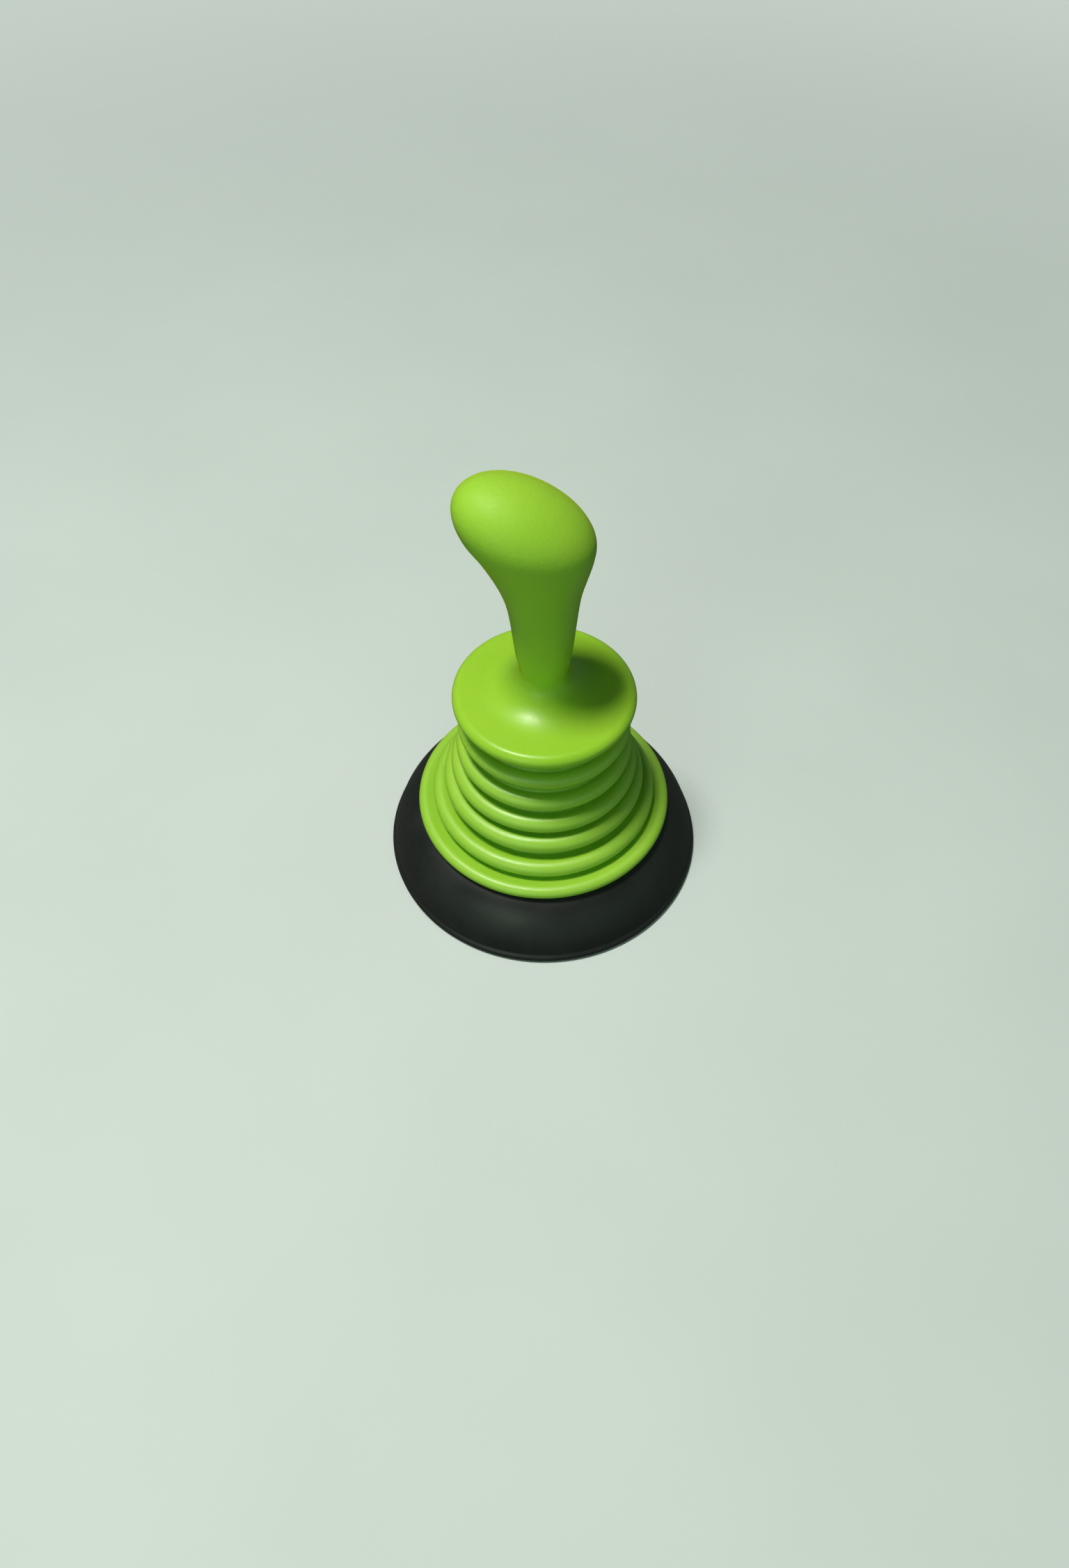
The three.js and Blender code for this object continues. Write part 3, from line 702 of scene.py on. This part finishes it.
def insert_rings(segments=96):
    turn = angles(segments) / (2 * math.pi)
    rings = []
    for z in np.linspace(INSERT_LO, INSERT_HI, 72):
        up = z - INSERT_LO
        length = INSERT_HI - INSERT_LO
        groove = 0.35 * (smoothstep(up, 3.1, 3.4) - smoothstep(up, 4.6, 4.9))
        ends = (0.25 * (1 - smoothstep(up, 0.0, 0.35))
                + 0.25 * smoothstep(up, length - 0.35, length))
        radius = INSERT_R - groove - ends
        if groove < 0.05 and ends < 0.05:
            teeth, twist = turn * KNURL_TEETH, up / KNURL_PITCH
            radius = radius + KNURL_HALF * (triangle(teeth + twist) + triangle(teeth - twist))
        rings.append(circle_ring(radius, z, segments))
    # the thread inside, as a real helix
    for z in np.linspace(INSERT_HI, INSERT_LO, 60):
        saw = triangle(turn - (z - INSERT_LO) / THREAD_PITCH)
        fade = (smoothstep(z, INSERT_LO, INSERT_LO + INSERT_END)
                * (1 - smoothstep(z, INSERT_HI - INSERT_END, INSERT_HI)))
        rings.append(circle_ring(INSERT_BORE_R - 0.2 * (1 - saw) * fade, z, segments))
    return rings


def screw_rings(segments=96):
    turn = angles(segments)
    hexagon = HEX_HALF / np.cos((turn + math.pi / 6) % (math.pi / 3) - math.pi / 6)
    rings = [[(0, 0, SCREW_LO + 1.75)]]
    # socket, from its floor down to its mouth: share of the hexagon, height in the head
    for share, up in [(0.5, 1.6), (1, 1.5), (1, 0.1), (1.07, 0)]:
        rings.append(circle_ring(hexagon * share, SCREW_LO + up, segments))
    head = fillet([(1.6, SCREW_LO, 0), (3.0, SCREW_LO, 0.9), (HEAD_R, SCREW_LO + 1.1, 0.7),
                   (HEAD_R, HEAD_TOP, 0.12), (SHANK_R, HEAD_TOP, 0)])
    rings += [circle_ring(r, z, segments) for r, z in head[1:]]
    for z in np.arange(HEAD_TOP + 0.1, SCREW_HI - 0.05, THREAD_PITCH / 8):
        saw = triangle(turn / (2 * math.pi) - (z - HEAD_TOP) / THREAD_PITCH)
        cut = 0.36 * smoothstep(z, HEAD_TOP + 2.2, HEAD_TOP + 3.4)
        run_out = 1 - smoothstep(z, SCREW_HI - 0.5, SCREW_HI)
        taper = 0.55 * smoothstep(z, SCREW_HI - 0.9, SCREW_HI)
        rings.append(circle_ring(SHANK_R - cut * saw * run_out - taper, z, segments))
    rings.append([(0, 0, SCREW_HI)])
    return rings


insert = skin("threaded_insert_brass", insert_rings(), loop=True)
finish_piece(insert, BRASS, "threaded_insert", "handle")

screw = skin("centre_screw_socket", screw_rings())
finish_piece(screw, STEEL, "centre_screw", "handle")

# the sections below are corners: radius, z, edge radius
low, top = heights("screw_washer")
washer = turned("screw_washer_plain", [
    (2.25, low, 0.12), (6.0, low, 0.18), (6.0, top, 0.18), (2.25, top, 0.12)], 96)
finish_piece(washer, STEEL, "screw_washer", "handle")

low, top = heights("clamp_plate")
plate = turned("clamp_plate_moulding", [
    (2.4, low, 0.2), (7.2, low, 0.4), (7.8, low + 1.6, 0.6), (20.2, low + 1.6, 0.6),
    (20.8, low + 0.3, 0.4), (23.0, low + 0.3, 0.6), (23.0, top, 0.5), (2.4, top, 0.2)],
    128, step=1.5)
finish_piece(plate, NYLON, "clamp_plate", "handle")

low, GASKET_TOP = heights("deck_gasket")
gasket = turned("deck_gasket_ring", [
    (3.0, low, 0.15), (21.4, low, 0.15), (21.4, GASKET_TOP, 0.15), (3.0, GASKET_TOP, 0.15)],
    128, step=2.0)
finish_piece(gasket, GASKET_RUBBER, "deck_gasket", "handle")

# ------------------------------------------------------------------ bellows
WALL = 1.6
# ribs from the top: outer radius, z, edge radius, inward slope of the upper face
RIBS = [(31.3, 71.3, 3.0, 0.15), (32.3, 59.5, 3.3, 0.15), (34.7, 49.6, 3.4, 0.25),
        (37.8, 41.2, 3.4, 0.3), (42.5, 32.6, 3.1, 0.3)]
GROOVES = [26.8, 27.0, 28.3, 30.9, 34.3]  # radius of the groove above each rib
LAST_GROOVE = (39.9, 27.7)  # radius and z of the groove over the skirt
UNDER_SLOPE = 0.12  # of each rib's lower face
DECK_BORE_R, DECK_UNDER, DECK_FLOOR = 2.6, 76.9, 79.0  # DECK_FLOOR: bottom of the dish on top
DECK_DISH_R = 21.7
FOOT_BORE_R, FOOT_TOP = 34.0, 26.9


def set_back(edge, slope):
    """How far an edge of this radius reaches from its corner, beside a sloping face."""
    return edge / math.tan((math.pi / 2 - math.atan(slope)) / 2)


def rib_path():
    """Corners (r, z, edge radius) of the ribbed wall's outside, downwards."""
    corners = [(27.1, 77.7, 0.6)]
    underside = 0.0
    for i, (radius, z, edge, fall) in enumerate(RIBS):
        low_edge = edge * 0.65
        upper = z + set_back(edge, fall)
        if i:
            wall = GROOVES[i] + 0.3
            corners.append((wall, underside - UNDER_SLOPE * (RIBS[i - 1][0] - wall), 0.7))
        underside = z - set_back(low_edge, UNDER_SLOPE)
        corners += [(GROOVES[i], upper - fall * (radius - GROOVES[i]), 0.7),
                    (radius, upper, edge), (radius, underside, low_edge)]
    return corners + [(LAST_GROOVE[0] + 0.2, underside - 0.3, 0.6), (*LAST_GROOVE, 0.6)]


def bellows_profile():
    outside = rib_path()
    inside = inset(outside, WALL)
    deck = fillet([
        (DECK_BORE_R, DECK_UNDER, 0), (DECK_BORE_R, DECK_FLOOR, 0.3),
        (DECK_DISH_R, DECK_FLOOR, 0.2), (DECK_DISH_R, DECK_TOP, 0.3), (27.2, DECK_TOP, 0)])
    outer = rounded(
        [(27.2, DECK_TOP, 0), (28.7, DECK_TOP, 1.0), (28.7, 78.4, 0.7)] + outside
        + [(SKIRT_R, 29.93, 2.6), (SKIRT_R, FOOT_BOTTOM, 1.9), (45.0, FOOT_BOTTOM, 0)])
    foot = fillet([(45.0, FOOT_BOTTOM, 0), (FOOT_BORE_R, FOOT_BOTTOM, 0.4),
                   (FOOT_BORE_R, FOOT_TOP, 0.4), (38.2, FOOT_TOP, 0)])
    inner = rounded([(inside[0][0] + 0.1, DECK_UNDER, 0)] + inside
                    + [(LAST_GROOVE[0] - WALL, FOOT_TOP, 0)], 0.6)
    loop = deck[1:-1] + outer + foot[1:-1] + inner[::-1] + [(DECK_BORE_R, DECK_UNDER)]
    return resample(clean(loop, True, 0.03), 0.9, True)


def add_crest(piece):
    """Stores 0 on a groove's floor to 1 on a rib's outer face, for the material."""
    spots = rest_positions(piece.data).reshape(-1, 3) / MM
    radius, z = np.hypot(spots[:, 0], spots[:, 1]), spots[:, 2]
    # z, crest radius and groove radius, from the bottom up as interp needs
    levels = [26.6] + [rib[1] for rib in RIBS][::-1] + [77.0]
    crests = [SKIRT_R] + [rib[0] for rib in RIBS][::-1] + [RIBS[0][0]]
    floors = [LAST_GROOVE[0]] + GROOVES[::-1] + [GROOVES[0]]
    crest, floor_r = np.interp(z, levels, crests), np.interp(z, levels, floors)
    value = np.clip((radius - floor_r) / np.maximum(1.0, crest - floor_r), 0, 1)
    stored = piece.data.attributes.new("crest", "FLOAT", "POINT")
    stored.data.foreach_set("value", np.asarray(value, np.float32))


bellows = lathe("bellows_moulding", bellows_profile(), 180)
add_crest(bellows)
finish_piece(bellows, BELLOWS_LIME, "bellows", "foot")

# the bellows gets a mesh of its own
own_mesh(bellows)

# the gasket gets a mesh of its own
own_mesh(gasket)

# ---------------------------------------------------------------- neck hoop
low, top = heights("neck_hoop")
hoop = turned("neck_hoop_moulding", [
    (27.6, low, 0.5), (34.5, low, 0.8), (34.5, low + 2.2, 0.5), (30.6, low + 2.4, 0.6),
    (30.6, top, 0.9), (27.6, top, 0.5)], 160, step=1.5)
finish_piece(hoop, NYLON, "neck_hoop", "foot")

# -------------------------------------------------------------- suction cup
# radius, z: from the lip up the outside
CUP_OUTSIDE = [
    (57.0, 0.04), (59.6, 0.10), (60.6, 0.62), (CUP_R, 1.75), (60.75, 2.95), (60.0, 3.75),
    (59.65, 5.0), (59.2, 7.0), (58.3, 9.8), (56.6, 13.4), (53.9, 17.6), (50.6, 21.0),
    (47.6, 23.1), (45.4, 24.0), (44.0, 24.2)]
# radius, z, edge radius: over the top and the neck, and down its bore
CUP_NECK = [
    (43.9, 24.2, 0), (33.7, 24.2, 0.35), (33.7, 27.2, 0.3), (37.0, 27.2, 0.7),
    (36.6, 29.2, 1.0), (34.6, 30.2, 0.8), (30.9, 30.2, 0.5), (30.9, 20.9, 0)]
# radius, z: down the inside of the dome to the lip
CUP_INSIDE = [
    (30.9, 20.85), (33.0, 20.75), (36.5, 20.6), (40.5, 20.3), (43.2, 19.75), (45.8, 18.9),
    (48.3, 17.4), (50.4, 15.5), (52.0, 13.4), (53.2, 11.3), (54.15, 9.0), (54.8, 6.8),
    (55.2, 4.5), (55.45, 2.2), (55.75, 0.6), (56.3, 0.12)]


def cup_profile():
    loop = ([tuple(q) for q in catmull(CUP_OUTSIDE, 6)] + fillet(CUP_NECK)[1:-1]
            + [tuple(q) for q in catmull(CUP_INSIDE, 6)])
    return [(r, max(0.0, z)) for r, z in resample(clean(loop, True, 0.04), 1.1, True)]


cup = lathe("suction_cup_rubber", cup_profile(), 224)
finish_piece(cup, RUBBER, "suction_cup", None)
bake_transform(cup)

# ------------------------------------------------------------------- studio
BACKDROP = (0.565, 0.640, 0.590, 1.0)
scene = bpy.context.scene


def floor_material():
    mat = Material("floor_pale")
    # pale to the camera, but it throws little light back up under the handle
    camera_ray = mat.node("LightPath").outputs["Is Camera Ray"]
    tint = mat.span(mat.noise(scale=9, at=mat.coords("Object")))
    pale = mat.mix(tint, (0.63, 0.715, 0.695), (0.66, 0.745, 0.725))
    mat.set({"Base Color": mat.mix(camera_ray, (0.09, 0.105, 0.10), pale), "Roughness": 0.65})
    # far off the floor melts into the plain background, so no horizon shows
    x, y, _ = mat.xyz(mat.coords("Object"))
    far = mat.span(mat.hypot(x, y), over=(0.22, 1.1), smooth=True)
    plain = mat.node("Emission", {"Color": BACKDROP})
    melt = mat.node("MixShader", {0: mat.mul(far, camera_ray), 1: mat.shader.outputs["BSDF"],
                                  2: plain.outputs[0]})
    mat.link(melt.outputs[0], mat.output.inputs["Surface"])
    return mat.material


def build_world():
    world = bpy.data.worlds.new("soft_room")
    scene.world = world
    world.use_nodes = True
    sky = Tree(world.node_tree)
    glow = sky.tree.nodes["Background"]
    # dim overhead, with a brighter band low down, strongest on the camera's side
    _, y, z = sky.xyz(sky.coords("Generated"))
    band = sky.span(z, over=(0.12, 0.60), to=(1.0, 0.0), smooth=True)
    side = sky.span(y, over=(-0.9, 0.4), to=(0.66, 0.19), smooth=True)
    sky.put(glow.inputs["Strength"], sky.add(sky.mul(band, side), 0.055))
    sky.put(glow.inputs["Color"], (0.62, 1.0, 0.74, 1.0))
    # the camera itself sees one plain pale tone there
    seen = sky.node("Background", {"Color": BACKDROP})
    choose = sky.node("MixShader", {0: sky.node("LightPath").outputs["Is Camera Ray"],
                                    1: glow.outputs[0], 2: seen.outputs[0]})
    sky.link(choose.outputs[0], sky.tree.nodes["World Output"].inputs["Surface"])


def disk_light(name, toward, distance, size, power, colour):
    """A disk `distance` along `toward` from the aim point, facing that point."""
    aim = Vector((0, 0, 0.09))
    data = bpy.data.lights.new(name, "AREA")
    data.shape = "DISK"
    data.size = size
    data.energy = power
    data.color = colour
    light = bpy.data.objects.new(name, data)
    scene.collection.objects.link(light)
    place = aim + Vector(toward) * distance
    light.location = place
    light.rotation_mode = "QUATERNION"
    light.rotation_quaternion = (aim - place).to_track_quat("-Z", "Y")


def build_camera():
    data = bpy.data.cameras.new("camera")
    camera = bpy.data.objects.new("camera", data)
    scene.collection.objects.link(camera)
    scene.camera = camera
    camera.location = (-0.00347, -0.27610, 0.39540)
    camera.rotation_euler = (math.radians(37.2), 0.0, 0.0)
    data.sensor_width = 36.0
    data.lens = 26.99
    data.clip_start = 0.01


bpy.ops.mesh.primitive_plane_add(size=6.0, location=(0, 0, 0))
floor = bpy.context.object
floor.name = "studio_floor"
floor.data.materials.append(floor_material())

build_world()
disk_light("key", toward=(-0.240, -0.030, 0.970), distance=1.6, size=0.34, power=23.6,
           colour=(1.0, 0.965, 0.90))
disk_light("low_front", toward=(-0.40, -0.86, 0.32), distance=1.4, size=0.7, power=2.6,
           colour=(0.80, 1.0, 0.82))
build_camera()
scene.view_settings.view_transform = "Standard"
scene.view_settings.look = "None"
